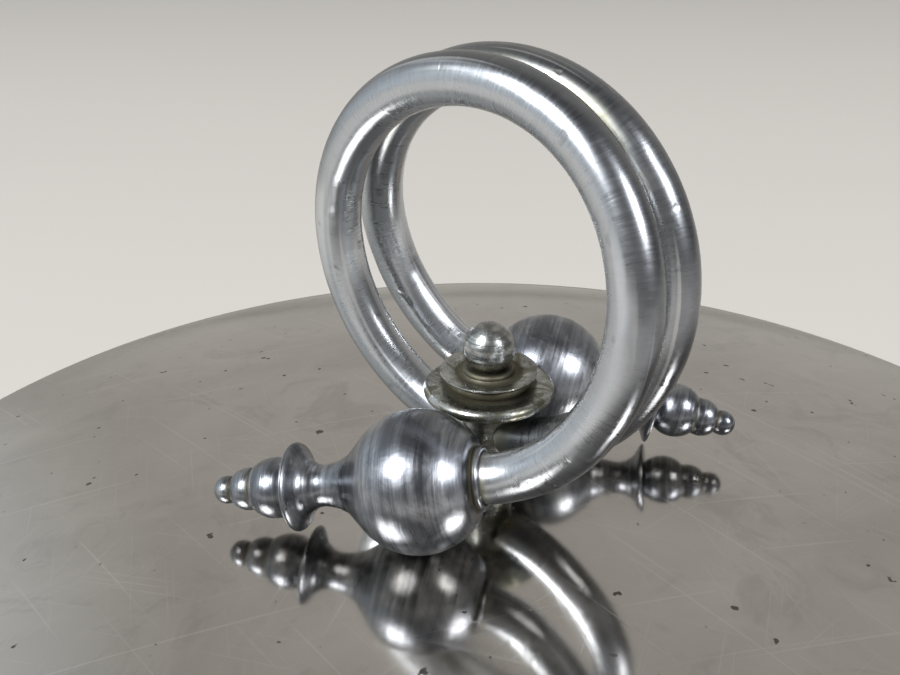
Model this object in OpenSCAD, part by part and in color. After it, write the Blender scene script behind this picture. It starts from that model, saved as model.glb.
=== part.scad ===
// Covered sugar bowl in wrought metal: a spun bowl on a foot ring, and a domed lid
// whose handle is two rings of round rod with turned ball finials.
// Millimetres, +Z up. The origin is the centre of the circle that the foot rests on.
// The rings stand across X. The front ring's finial points to -X and the back ring's to +X.

/* [Bowl] */
// Inside diameter of the bowl's mouth
mouth_d = 120; // [100:0.5:146]
// Height of the rim land above the table
rim_height = 66; // [54:1:80]
// How far the wall swells outside the mouth, as a control point of the wall curve
belly_swell = 10; // [4:0.5:14]
// Diameter of the flat bottom
bottom_d = 64; // [52:1:74]
// Thickness of the bowl's sheet
bowl_wall = 1.6; // [1.2:0.1:2]
// Width of the flat land on top of the rim
rim_land = 3.4; // [3:0.1:4.4]
// Height of the rolled rim
rim_roll_h = 3; // [2.4:0.1:4]

/* [Foot] */
// Height of the foot ring
foot_h = 5.5; // [4.5:0.5:8]
// Outside diameter of the foot at the table
foot_d = 71; // [62:1:80]
// Thickness of the foot ring
foot_wall = 2.2; // [1.8:0.1:3]
// How far in from the flat bottom's edge the foot ring is joined
foot_inset = 1; // [0.5:0.1:2]

/* [Lid] */
// Radius of the lid's dome
dome_r = 250; // [200:1:320]
// Thickness of the lid's sheet
lid_wall = 1.4; // [1.1:0.1:1.8]
// Height of the hem around the lid's edge
hem_h = 2.6; // [2.2:0.1:3.4]
// How far the hem stands out past the bowl's rim
hem_overhang = 1.2; // [0:0.1:2]
// Depth of the bezel inside the mouth
bezel_h = 4.5; // [3:0.5:6]
// Thickness of the bezel
bezel_wall = 1.2; // [0.9:0.1:1.6]

/* [Handle rings] */
// Diameter of the round rod
rod_d = 4; // [3.4:0.1:4.6]
// Radius of each ring, to the middle of the rod
ring_r = 15.2; // [12.5:0.1:18.5]
// Lean of the outer half of each ring, away from the other ring
splay = 10.5; // [8.5:0.1:13]
// How far short of the lowest point the ring ends and the tail begins
ring_end = 38; // [32:0.5:44]
// Radius of the bend between ring and tail, to the middle of the rod
bend_r = 8; // [6.5:0.1:10]
// Direction of the tail, outwards from the ring's plane
tail_turn = 24; // [20:1:30]
// Droop of the tail below level
tail_droop = 11; // [8:1:15]
// Length of straight rod that shows between the bend and the ball's lip
tail_lead = 0.3; // [0.2:0.1:1.5]

/* [Finials] */
// Greatest diameter of the ball
ball_d = 11.4; // [9.5:0.1:13.7]
// Length of the finial from the middle of the ball to the end of the last bead
finial_len = 17.8; // [14.5:0.1:21.5]
// Depth of the socket that the rod sits in, from the ball's lip
socket_depth = 7; // [5:0.5:8]
// Diameter of the centre post
post_d = 4.4; // [4:0.1:5]
// Diameter of the knob on the centre post
knob_d = 4.4; // [3.8:0.1:5.2]
// Diameter of the thin upper flange
upper_flange_d = 8.2; // [7:0.1:9.4]
// Diameter of the thick lower flange
lower_flange_d = 11; // [9.4:0.1:12.4]
// Diameter of the tenon on each rod, which sits in the post
tenon_d = 2.2; // [1.8:0.1:2.6]
// Length of the tenon
tenon_len = 1.8; // [1.2:0.1:1.9]

/* [Screw] */
// Diameter of the screw that holds the handle
screw_d = 2.4; // [2:0.1:2.6]
// Space left in the post between the end of the screw and the tenons
screw_end_gap = 0.5; // [0.3:0.1:1]
// Diameter of the screw's head
screw_head_d = 4.8; // [4.2:0.1:6]
// Height of the screw's head
screw_head_h = 1.6; // [1.2:0.1:2]
// Diameter of the washer
washer_d = 8; // [7:0.5:12]
// Thickness of the washer
washer_h = 0.8; // [0.6:0.1:1.2]

/* [Clearances] */
// Between the bezel and the bowl's mouth, on the radius
bezel_clearance = 0.5; // [0.3:0.05:1]
// Between the hem and the rim land
seat_clearance = 0.1; // [0.05:0.05:0.3]
// Between the two rods where they pass at the top
rod_gap = 0.2; // [0.1:0.05:0.6]
// Between a rod or tenon and its socket, on the radius
socket_clearance = 0.05; // [0.03:0.01:0.1]
// Between the screw and its hole in the lid, on the radius
screw_clearance = 0.2; // [0.1:0.05:0.4]
// Between the lower flange and the strands and balls around it
flange_clearance = 0.25; // [0.15:0.05:0.5]
// Between each ball and the lid that it rests on
ball_clearance = 0.1; // [0.05:0.05:0.4]
// Between soldered or clamped faces that are not both flat
joint_gap = 0.03; // [0.02:0.01:0.05]

/* [Hidden] */
$fn = 96;
wall_steps = 20;
dome_steps = 10;
bead_steps = 8;
bend_steps = 5;
ring_steps = 24;
rod_sides = 24;

mouth_r = mouth_d / 2;
bottom_r = bottom_d / 2;
rim_outer_r = mouth_r + rim_land;

// The lid's levels. The dome's outer surface leaves the hem at hem_r.
seat_z = rim_height + seat_clearance;
hem_r = rim_outer_r + hem_overhang;
hem_round = hem_h / 2;
hem_top_r = hem_r - hem_round;
hem_land_r = mouth_r + bezel_clearance;
dome_centre_z = seat_z + hem_h - sqrt(dome_r * dome_r - hem_top_r * hem_top_r);
lid_top_z = dome_centre_z + dome_r;
dome_under_r = dome_r - lid_wall;
bezel_outer_r = mouth_r - bezel_clearance;

// The finial's profile runs along its own axis: a lip around the rod, the ball, a neck that
// flares to a thin collar, and three beads. Places are measured from the middle of the ball.
ball_r = ball_d / 2;
spire = finial_len - ball_r;
lip_r = rod_d / 2 + 0.55;
lip_w = 0.6;
lip_edge = 0.2;
lip_at = -0.84 * ball_r;
ball_arc_start = asin(lip_at / ball_r) + 4;
ball_arc_end = 48;
neck_r = 1.65;
neck_at = ball_r + 0.2 * spire;
collar_r = 3.6;
collar_w = 0.3;
collar_at = ball_r + 0.365 * spire;
collar_root = 0.35;
bead_r = [2.5, 1.75, 1.15];
bead_at = [ball_r + 0.54 * spire, ball_r + 0.74 * spire, finial_len - bead_r[2]];
first_bead_start = -50;
groove_r = 0.8;

// The neck's curve, as distances out from the neck and along from its waist.
neck_curve = [[0.75, -2.5], [0.25, -1.5], [0.05, -0.6], [0, 0], [0.2, 0.6], [0.7, 1.3]];

// Radius of the groove between a bead and the next: where the two spheres meet, or the spindle.
function groove(i) =
    let (apart = bead_at[i + 1] - bead_at[i])
    let (meet = (apart * apart + bead_r[i] * bead_r[i] - bead_r[i + 1] * bead_r[i + 1]) / (2 * apart))
        max(groove_r, sqrt(max(0, bead_r[i] * bead_r[i] - meet * meet)));

// The rings. Both halves of a ring start level at the top, side by side with the other ring.
// Heights in this part are measured down from the top of the rings.
rod_r = rod_d / 2;
top_y = -(rod_d + rod_gap) / 2;
inner_lean = -asin(-top_y / (2 * ring_r));
post_r = post_d / 2;
outer_turn = 180 - ring_end;
inner_turn = 180 - asin(post_r / ring_r);

// A point and a direction on the outer half of the front ring, turned from the top.
function ring_point(turn, lean) = [
    ring_r * sin(turn),
    top_y - ring_r * (1 - cos(turn)) * sin(lean),
    -ring_r * (1 - cos(turn)) * cos(lean)
];
function ring_direction(turn, lean) = [cos(turn), -sin(turn) * sin(lean), -sin(turn) * cos(lean)];
function unit(v) = v / norm(v);

// The bend takes the rod from the ring's direction to the tail's.
bend_start = ring_point(outer_turn, splay);
bend_in = ring_direction(outer_turn, splay);
tail_dir = [-cos(tail_droop) * cos(tail_turn), -cos(tail_droop) * sin(tail_turn), -sin(tail_droop)];
bend_axis = unit(cross(bend_in, tail_dir));
bend_angle = acos(bend_in * tail_dir);
bend_out = cross(bend_axis, bend_in);
bend_centre = bend_start + bend_r * bend_out;
bend_end = bend_centre - bend_r * (cos(bend_angle) * bend_out - sin(bend_angle) * bend_in);
ball_centre = bend_end + (tail_lead + lip_w - lip_at) * tail_dir;

// The balls rest on the dome, and that sets how high the rings stand.
ball_out = norm([ball_centre[0], ball_centre[1]]);
ball_rest_r = dome_r + ball_r + ball_clearance;
ball_z = dome_centre_z + sqrt(ball_rest_r * ball_rest_r - ball_out * ball_out);
top_z = ball_z - ball_centre[2];
inner_end_z = top_z - 2 * ring_r * cos(inner_lean);
screw_top_z = inner_end_z - tenon_d / 2 - screw_end_gap;

// The centre finial's levels, stacked up from the inner strands: a cone, a thick flange,
// a band, a thin dished flange, a small bead and the knob.
// The thick flange stands clear of the strands that rise from the post and of the two balls.
function strand_top(out) = inner_end_z + ring_r - sqrt(pow(ring_r - rod_r, 2) - out * out);
cone_w = 0.4;
cone_r = post_r + cone_w;
cone_z = strand_top(cone_r) + flange_clearance;
lower_flange_h = 1.1;
lower_flange_r = lower_flange_d / 2 - lower_flange_h / 2;
over_strands = strand_top(lower_flange_d / 2) + lower_flange_h / 2 + flange_clearance;
ball_apart = ball_out - lower_flange_r;
ball_reach = ball_r + lower_flange_h / 2 + flange_clearance;
over_balls = ball_z + sqrt(max(0, ball_reach * ball_reach - ball_apart * ball_apart));
lower_flange_z = max(over_strands, over_balls);
band_r = 0.45;
band_z = lower_flange_z + lower_flange_h / 2 + band_r;
flange_lift = 0.65;
upper_flange_z = band_z + flange_lift;
rim_h = 0.15;
knob_bead_r = 0.3;
knob_waist = 33;
knob_z = upper_flange_z + knob_bead_r + knob_d / 2 * cos(knob_waist);

// Points along an arc of a circle in the plane, from one angle to another.
function arc(centre, r, from, to, steps) = [
    for (i = [0:steps]) let (a = from + (to - from) * i / steps) centre + r * [cos(a), sin(a)]
];

// The bowl's wall curve and the same curve moved inwards by the wall.
wall_curve = [
    [bottom_r, foot_h],
    [mouth_r + bowl_wall - 2, foot_h],
    [mouth_r + bowl_wall + belly_swell, 0.45 * rim_height],
    [mouth_r + bowl_wall, rim_height - rim_roll_h]
];
function curve_point(p, t) =
    pow(1 - t, 3) * p[0] + 3 * pow(1 - t, 2) * t * p[1] + 3 * (1 - t) * t * t * p[2] + pow(t, 3) * p[3];
function curve_slope(p, t) =
    unit(pow(1 - t, 2) * (p[1] - p[0]) + 2 * (1 - t) * t * (p[2] - p[1]) + t * t * (p[3] - p[2]));
function inward(p, t) = let (s = curve_slope(p, t)) curve_point(p, t) + bowl_wall * [-s[1], s[0]];

module bowl_shell() {
    outer = [for (i = [0:wall_steps]) curve_point(wall_curve, i / wall_steps)];
    inner = [for (i = [wall_steps - 1:-1:0]) inward(wall_curve, i / wall_steps)];
    roll = arc([rim_outer_r - rim_roll_h / 2, rim_height - rim_roll_h / 2], rim_roll_h / 2, -90, 90, bead_steps);
    color("silver")
        rotate_extrude()
            polygon(concat(
                [[0, foot_h]],
                outer,
                roll,
                [[mouth_r, rim_height], [mouth_r, rim_height - rim_roll_h]],
                inner,
                [[0, foot_h + bowl_wall]]
            ));
}

module foot_ring() {
    join_r = bottom_r - foot_inset;
    edge_h = 0.8;
    edge_w = 0.6;
    bell_out = 0.3;
    bell_z = 0.6 * foot_h;
    step_z = 0.5 * foot_h;
    color("silver")
        rotate_extrude()
            polygon([
                [join_r - foot_wall, foot_h],
                [join_r, foot_h],
                [join_r + bell_out, bell_z],
                [foot_d / 2 - edge_w, edge_h + edge_w],
                [foot_d / 2, edge_h],
                [foot_d / 2, 0],
                [foot_d / 2 - foot_wall, 0],
                [join_r - foot_wall, step_z]
            ]);
}

// Height of the dome's surface of radius r, at a distance out from the axis.
function dome_z(r, out) = dome_centre_z + sqrt(r * r - out * out);

module lid_dome() {
    hole_r = screw_d / 2 + screw_clearance;
    outer = [for (i = [0:dome_steps]) let (x = hole_r + (hem_top_r - hole_r) * i / dome_steps) [x, dome_z(dome_r, x)]];
    under = [
        for (i = [dome_steps:-1:0])
            let (x = hole_r + (hem_land_r - hole_r) * i / dome_steps) [x, dome_z(dome_under_r, x)]
    ];
    edge = arc([hem_top_r, seat_z + hem_round], hem_round, 80, -90, bead_steps);
    color("gainsboro")
        rotate_extrude()
            polygon(concat(outer, edge, [[hem_land_r, seat_z]], under));
}

module lid_bezel() {
    inner_r = bezel_outer_r - bezel_wall;
    solder_gap = joint_gap + 0.1;
    lead_in_w = 0.4;
    lead_in_h = 0.8;
    color("silver")
        rotate_extrude()
            polygon([
                [inner_r, seat_z - bezel_h],
                [bezel_outer_r - lead_in_w, seat_z - bezel_h],
                [bezel_outer_r, seat_z - bezel_h + lead_in_h],
                [bezel_outer_r, dome_z(dome_under_r, bezel_outer_r) - solder_gap],
                [inner_r, dome_z(dome_under_r, inner_r) - solder_gap]
            ]);
}

module centre_finial() {
    upper_r = upper_flange_d / 2;
    knob_r = knob_d / 2;
    outline = concat(
        [[0, lid_top_z], [post_r, lid_top_z], [post_r, cone_z - cone_w / 2], [cone_r, cone_z]],
        arc([lower_flange_r, lower_flange_z], lower_flange_h / 2, -60, 90, bead_steps),
        arc([upper_r - 2 * band_r, band_z], band_r, -60, 60, bead_steps),
        [[upper_r - 2 * rim_h, upper_flange_z - rim_h], [upper_r, upper_flange_z]],
        [[upper_r, upper_flange_z + rim_h], [upper_r - 2 * rim_h, upper_flange_z + rim_h]],
        [[knob_r + knob_bead_r, upper_flange_z - rim_h]],
        arc([knob_r - knob_bead_r, upper_flange_z + rim_h], knob_bead_r, -20, 90, bead_steps),
        arc([0, knob_z], knob_r, knob_waist - 90, 90, 2 * bead_steps)
    );
    color("gray")
        difference() {
            rotate_extrude()
                polygon(outline);
            translate([0, 0, lid_top_z - 1])
                cylinder(h = screw_top_z - lid_top_z + 1 + screw_end_gap / 2, r = screw_d / 2 + socket_clearance);
            translate([-post_d, 0, inner_end_z])
                rotate([0, 90, 0])
                    cylinder(h = 2 * post_d, r = tenon_d / 2 + socket_clearance);
        }
}

// Stands the children's Z axis along a direction, with their X axis along another.
module aim(origin, x_dir, z_dir) {
    y_dir = cross(z_dir, x_dir);
    multmatrix([
        [x_dir[0], y_dir[0], z_dir[0], origin[0]],
        [x_dir[1], y_dir[1], z_dir[1], origin[1]],
        [x_dir[2], y_dir[2], z_dir[2], origin[2]],
        [0, 0, 0, 1]
    ])
        children();
}

// The rod's route as stations of [point, direction, radius], from the end in the ball to the tenon.
rod_start = ball_centre + (lip_at + socket_depth - joint_gap) * tail_dir;
tenon_start = [-post_r - joint_gap, 0, -2 * ring_r * cos(inner_lean)];
tail_station = [[rod_start, -tail_dir, rod_r]];
bend_stations = [
    for (i = [0:bend_steps]) let (a = bend_angle * (1 - i / bend_steps)) [
        bend_centre - bend_r * (cos(a) * bend_out - sin(a) * bend_in),
        -cos(a) * bend_in - sin(a) * bend_out,
        rod_r
    ]
];
outer_stations = [
    for (i = [1:ring_steps]) let (a = outer_turn * (1 - i / ring_steps))
        [ring_point(a, splay), -ring_direction(a, splay), rod_r]
];
inner_stations = [
    for (i = [1:ring_steps - 1]) let (a = inner_turn * i / ring_steps, p = ring_point(a, inner_lean))
        [[-p[0], p[1], p[2]], [-cos(a), -sin(a) * sin(inner_lean), -sin(a) * cos(inner_lean)], rod_r]
];
tenon_stations = [
    [tenon_start, [1, 0, 0], rod_r],
    [tenon_start, [1, 0, 0], tenon_d / 2],
    [tenon_start + [tenon_len, 0, 0], [1, 0, 0], tenon_d / 2]
];

// A tube through a list of stations, with flat ends. No station may run along Y.
module swept_rod(stations, sides) {
    rings = [
        for (s = stations) let (u = unit([0, 1, 0] - s[1][1] * s[1]), v = cross(s[1], u))
            for (k = [0:sides - 1]) s[0] + s[2] * (cos(360 * k / sides) * u + sin(360 * k / sides) * v)
    ];
    last = (len(stations) - 1) * sides;
    polyhedron(
        points = rings,
        faces = concat(
            [[for (k = [0:sides - 1]) k]],
            [
                for (i = [0:len(stations) - 2]) for (k = [0:sides - 1]) let (n = (k + 1) % sides)
                    [i * sides + k, (i + 1) * sides + k, (i + 1) * sides + n, i * sides + n]
            ],
            [[for (k = [sides - 1:-1:0]) last + k]]
        )
    );
}

module ring_rod() {
    translate([0, 0, top_z])
        swept_rod(concat(tail_station, bend_stations, outer_stations, inner_stations, tenon_stations), rod_sides);
}

module ball_finial() {
    axis_at = ball_centre + [0, 0, top_z];
    outline = concat(
        [[0, lip_at - lip_w], [lip_r - lip_edge, lip_at - lip_w], [lip_r, lip_at - lip_w + lip_edge]],
        [[lip_r, lip_at - lip_edge], [lip_r - lip_edge, lip_at]],
        arc([0, 0], ball_r, ball_arc_start, ball_arc_end, 2 * bead_steps),
        [for (p = neck_curve) [neck_r, neck_at] + p],
        [[collar_r, collar_at], [collar_r, collar_at + collar_w], [neck_r - collar_root, collar_at + collar_w]],
        arc([0, bead_at[0]], bead_r[0], first_bead_start, acos(groove(0) / bead_r[0]), bead_steps),
        arc([0, bead_at[1]], bead_r[1], -acos(groove(0) / bead_r[1]), acos(groove(1) / bead_r[1]), bead_steps),
        arc([0, bead_at[2]], bead_r[2], -acos(groove(1) / bead_r[2]), 90, bead_steps)
    );
    difference() {
        aim(axis_at, bend_axis, tail_dir)
            rotate_extrude()
                polygon(outline);
        aim(axis_at + (lip_at - lip_w - 1) * tail_dir, bend_axis, tail_dir)
            cylinder(h = socket_depth + lip_w + 1, r = rod_r + socket_clearance);
    }
}

module front_ring_rod() {
    color("lightgray") ring_rod();
}

module back_ring_rod() {
    color("lightgray") rotate([0, 0, 180]) ring_rod();
}

module front_ball_finial() {
    color("slategray") ball_finial();
}

module back_ball_finial() {
    color("slategray") rotate([0, 0, 180]) ball_finial();
}

washer_top_z = dome_z(dome_under_r, washer_d / 2) - joint_gap;

module screw_washer() {
    color("darkgray")
        translate([0, 0, washer_top_z - washer_h])
            difference() {
                cylinder(h = washer_h, r = washer_d / 2);
                translate([0, 0, -1])
                    cylinder(h = washer_h + 2, r = screw_d / 2 + screw_clearance);
            }
}

module handle_screw() {
    head_top_z = washer_top_z - washer_h;
    slot_w = 0.9;
    slot_h = 0.9;
    color("dimgray")
        difference() {
            union() {
                translate([0, 0, head_top_z - screw_head_h])
                    cylinder(h = screw_head_h, r = screw_head_d / 2);
                translate([0, 0, head_top_z - 0.5])
                    cylinder(h = screw_top_z - head_top_z + 0.5, r = screw_d / 2);
            }
            translate([-screw_head_d, -slot_w / 2, head_top_z - screw_head_h - 1])
                cube([2 * screw_head_d, slot_w, slot_h + 1]);
        }
}

bowl_shell();
foot_ring();
lid_dome();
lid_bezel();
centre_finial();
front_ring_rod();
back_ring_rod();
front_ball_finial();
back_ball_finial();
handle_screw();
screw_washer();
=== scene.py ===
"""Covered sugar bowl in wrought metal: every piece is turned, spun or swept from sizes in the sidebar."""
from math import cos, degrees, pi, radians, sin, sqrt
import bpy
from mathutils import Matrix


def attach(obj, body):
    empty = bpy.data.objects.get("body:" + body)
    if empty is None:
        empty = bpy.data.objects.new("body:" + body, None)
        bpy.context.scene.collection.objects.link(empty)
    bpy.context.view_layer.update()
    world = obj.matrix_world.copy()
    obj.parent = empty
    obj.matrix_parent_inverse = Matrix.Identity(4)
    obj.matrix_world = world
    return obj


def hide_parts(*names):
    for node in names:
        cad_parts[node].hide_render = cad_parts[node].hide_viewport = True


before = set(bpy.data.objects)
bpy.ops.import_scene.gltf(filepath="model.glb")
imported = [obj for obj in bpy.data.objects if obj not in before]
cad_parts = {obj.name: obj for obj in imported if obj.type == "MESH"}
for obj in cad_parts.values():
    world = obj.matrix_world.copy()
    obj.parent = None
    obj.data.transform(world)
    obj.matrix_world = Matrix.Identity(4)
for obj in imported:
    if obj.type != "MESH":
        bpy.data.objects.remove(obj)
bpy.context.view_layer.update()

from types import SimpleNamespace

import bpy
import numpy as np
from bpy.props import FloatProperty, FloatVectorProperty, PointerProperty
from mathutils import Matrix, Vector

bl_info = {
    "name": "Covered Sugar Bowl",
    "version": (1, 0, 0),
    "blender": (4, 5, 0),
    "location": "View3D > Sidebar > Sugar Bowl",
    "description": "Builds a covered sugar bowl with a handle of two rings and turned finials",
    "category": "Add Mesh",
}

MM = 0.001

# How finely the pieces are cut, as sides round their axes.
LID_SIDES, BOWL_SIDES, FINIAL_SIDES, WASHER_SIDES, ROD_SIDES = 320, 256, 144, 96, 56
RING_POINTS, BEND_POINTS, TAIL_POINTS = 150, 24, 14
SHARP_EDGE = 40  # degrees; a sharper edge isn't shaded smooth
SAME_POINT = 1e-4 * MM  # points nearer than this are one point
FULL_HOLLOW = 1.2  # radians of inward turn that count as a whole hollow

# Small sizes of the handle and the lid that nobody would change.
LIP_WIDTH, LIP_STEP = 0.6 * MM, 0.55 * MM
LIP_PLACE = 0.84  # of a ball's lip, as a share of the ball's radius
CONE_STEP, FLANGE_THICK = 0.4 * MM, 1.1 * MM
SOCKET_CLEARANCE = 0.05 * MM
RESIDUE = 1.2 * MM  # how far tarnish spreads from where two pieces meet


# ---------------------------------------------------------------- sizes

def length(name, description, millimetres):
    """A length property: its default is the given millimetres in metres."""
    return FloatProperty(
        name=name, description=description, default=millimetres * MM, unit="LENGTH", precision=5
    )


def angle(name, description, turn):
    """An angle property: its default is the given degrees in radians."""
    return FloatProperty(name=name, description=description, default=radians(turn), unit="ROTATION")


def share(name, description, value):
    """A property between nothing and all."""
    return FloatProperty(
        name=name, description=description, default=value, min=0, max=1, subtype="FACTOR"
    )


def tint(name, description, red, green, blue):
    """A colour property."""
    return FloatVectorProperty(
        name=name, description=description, default=(red, green, blue), min=0, max=1, subtype="COLOR"
    )


class RingSizes(bpy.types.PropertyGroup):
    """The two rings of round rod."""

    rod_d: length("Rod", "Diameter of the round rod", 4)
    ring_r: length("Ring radius", "Radius of each ring, to the middle of the rod", 15.2)
    splay: angle("Splay", "Lean of the outer half of each ring, away from the other ring", 10.5)
    ring_end: angle("Ring end", "How far short of the lowest point the ring ends", 38)
    bend_r: length("Bend radius", "Radius of the bend between the ring and the tail", 8)
    tail_turn: angle("Tail turn", "Direction of the tail, outwards from the ring's plane", 24)
    tail_droop: angle("Tail droop", "Droop of the tail below level", 11)
    tail_lead: length("Tail lead", "Straight rod that shows between the bend and the lip", 0.3)
    rod_gap: length("Rod gap", "Space between the two rods where they pass at the top", 0.2)
    tenon_d: length("Tenon", "Diameter of the tenon that sits in the post", 2.2)
    tenon_len: length("Tenon length", "Length of the tenon", 1.8)


class FinialSizes(bpy.types.PropertyGroup):
    """The turned finials and the centre post."""

    ball_d: length("Ball", "Greatest diameter of the ball", 11.4)
    finial_len: length("Finial length", "From the middle of the ball to the end of the last bead", 17.8)
    socket_depth: length("Socket", "Depth of the socket that the rod sits in", 7)
    ball_clearance: length("Ball clearance", "Between each ball and the lid that it rests on", 0.1)
    post_d: length("Post", "Diameter of the centre post", 4.4)
    knob_d: length("Knob", "Diameter of the knob on the centre post", 4.4)
    upper_flange_d: length("Upper flange", "Diameter of the thin upper flange", 8.2)
    lower_flange_d: length("Lower flange", "Diameter of the thick lower flange", 11)
    flange_clearance: length("Flange clearance", "Between the lower flange and what stands round it", 0.25)


class LidSizes(bpy.types.PropertyGroup):
    """The domed lid."""

    dome_r: length("Dome radius", "Radius of the lid's dome", 250)
    lid_wall: length("Lid sheet", "Thickness of the lid's sheet", 1.4)
    hem_h: length("Hem height", "Height of the hem around the lid's edge", 2.6)
    hem_overhang: length("Hem overhang", "How far the hem stands out past the bowl's rim", 1.2)
    bezel_h: length("Bezel depth", "Depth of the bezel inside the mouth", 4.5)
    bezel_wall: length("Bezel wall", "Thickness of the bezel", 1.2)
    bezel_clearance: length("Bezel clearance", "Between the bezel and the bowl's mouth", 0.5)
    seat_clearance: length("Seat clearance", "Between the hem and the rim land", 0.1)
    hand_work: length("Hand work", "Depth of the hollows that hand work leaves in the dome", 0.03)


class BowlSizes(bpy.types.PropertyGroup):
    """The spun bowl and its foot."""

    mouth_d: length("Mouth", "Inside diameter of the bowl's mouth", 120)
    rim_height: length("Rim height", "Height of the rim land above the table", 66)
    belly_swell: length("Belly swell", "How far the wall swells outside the mouth", 10)
    bottom_d: length("Bottom", "Diameter of the flat bottom", 64)
    bowl_wall: length("Bowl sheet", "Thickness of the bowl's sheet", 1.6)
    rim_land: length("Rim land", "Width of the flat land on top of the rim", 3.4)
    rim_roll_h: length("Rim roll", "Height of the rolled rim", 3)
    foot_h: length("Foot height", "Height of the foot ring", 5.5)
    foot_d: length("Foot", "Outside diameter of the foot at the table", 71)
    foot_wall: length("Foot wall", "Thickness of the foot ring", 2.2)
    foot_inset: length("Foot inset", "How far in from the bottom's edge the foot is joined", 1)


class ScrewSizes(bpy.types.PropertyGroup):
    """The screw and washer under the lid."""

    screw_d: length("Screw", "Diameter of the screw", 2.4)
    screw_clearance: length("Screw clearance", "Between the screw and its hole in the lid", 0.2)
    washer_d: length("Washer", "Diameter of the washer", 8)
    washer_h: length("Washer thickness", "Thickness of the washer", 0.8)
    joint_gap: length("Joint gap", "Between soldered or clamped faces", 0.03)


class MetalColours(bpy.types.PropertyGroup):
    """Colours and wear of the metals."""

    polished: tint("Polished lid", "Worn polish of the lid", 0.56, 0.535, 0.50)
    spun: tint("Spun bowl", "Satin polish of the bowl", 0.62, 0.60, 0.575)
    rod: tint("Rod", "Bright satin of the drawn rod", 0.50, 0.515, 0.535)
    ball: tint("Finials", "Grey tarnish of the turned finials", 0.17, 0.178, 0.195)
    ball_worn: tint("Finials, worn", "Where hands have polished the finials", 0.47, 0.475, 0.49)
    post: tint("Centre finial", "Metal of the centre finial", 0.36, 0.365, 0.35)
    grime: tint("Grime", "Olive brown tarnish in the grooves", 0.115, 0.103, 0.068)
    screw: tint("Screw", "Plated steel", 0.56, 0.55, 0.53)
    wear: share("Wear", "How much the surfaces are scratched", 0.6)


class StageSizes(bpy.types.PropertyGroup):
    """The camera, the lights and the floor."""

    lens: FloatProperty(name="Lens", description="Focal length in millimetres", default=40)
    azimuth: angle("Camera azimuth", "Turn of the camera around the bowl from the front", 37.03)
    elevation: angle("Camera elevation", "Height of the camera's line above level", 25.96)
    roll: angle("Camera roll", "Turn of the camera around its own line", -0.47)
    distance: length("Camera distance", "From the camera to the level of the handle's middle", 79.73)
    aim_up: length("Aim height", "Height above the lid of the point that the camera turns around", 19.6)
    shift_right: length("Camera to the left", "How far the camera stands to the left of that line", 3.18)
    shift_up: length("Camera below", "How far the camera stands below that line", 5.25)
    floor: tint("Floor", "Colour of the floor", 0.47, 0.442, 0.403)
    floor_size: FloatProperty(name="Floor size", description="Width of the floor", default=6, unit="LENGTH")
    key: FloatProperty(name="Main window", description="Power of the main soft light in watts", default=78.0)
    side: FloatProperty(name="Side window", description="Power of the side soft light in watts", default=58.0)
    sky: FloatProperty(name="Room light", description="Strength of the light from the room", default=1.0)


SIZE_GROUPS = {
    "rings": RingSizes,
    "finials": FinialSizes,
    "lid": LidSizes,
    "bowl": BowlSizes,
    "screw": ScrewSizes,
    "colours": MetalColours,
    "stage": StageSizes,
}
PREFIX = "sugar_bowl_"
FINISH_ENDING = "_finish"  # the frame's materials have the slots' own names


def sizes(context):
    """All of the scene's size groups, by their short names."""
    return SimpleNamespace(**{k: getattr(context.scene, PREFIX + k) for k in SIZE_GROUPS})


# ---------------------------------------------------------------- outlines

def arc(centre, radius, start, end, steps):
    """Points of an arc: centre + radius * (cos a, sin a), a going evenly from start to end degrees."""
    a = np.radians(np.linspace(start, end, steps + 1))
    return np.asarray(centre) + radius * np.stack([np.cos(a), np.sin(a)], 1)


def rows(*parts):
    """Points and lists of points, joined into one list."""
    return np.concatenate([np.atleast_2d(np.asarray(p, float)) for p in parts])


def eased(outline, reach, steps=4):
    """Each inner corner becomes a short curve: (1-t)^2 * before + 2t(1-t) * corner + t^2 * after,
    where before and after lie at most reach away along the two sides. Doubled points are dropped."""
    outline = outline[np.append(True, np.linalg.norm(np.diff(outline, axis=0), axis=1) > SAME_POINT)]
    back, corner, ahead = outline[:-2], outline[1:-1], outline[2:]

    def towards(other):
        side = other - corner
        size = np.linalg.norm(side, axis=1, keepdims=True) + 1e-12
        under_half = 0.45
        return corner + side * np.minimum(reach / size, under_half)

    t = np.linspace(0, 1, steps + 1)[None, :, None]
    before, after = towards(back)[:, None], towards(ahead)[:, None]
    curve = (1 - t) ** 2 * before + 2 * t * (1 - t) * corner[:, None] + t**2 * after
    return rows(outline[0], curve.reshape(-1, outline.shape[1]), outline[-1])


def filled(outline, step):
    """Sides longer than step are cut evenly into shorter ones."""
    side = np.diff(outline, axis=0)
    parts = np.maximum(1, np.ceil(np.linalg.norm(side, axis=1) / step)).astype(int)
    which = np.repeat(np.arange(len(parts)), parts)
    within = (np.arange(parts.sum()) - np.repeat(np.cumsum(parts) - parts, parts)) / parts[which]
    return rows(outline[which] + within[:, None] * side[which], outline[-1])


def travelled(points):
    """Distance along a line of points, from its first one."""
    return np.concatenate([[0], np.cumsum(np.linalg.norm(np.diff(points, axis=0), axis=1))])


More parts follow.
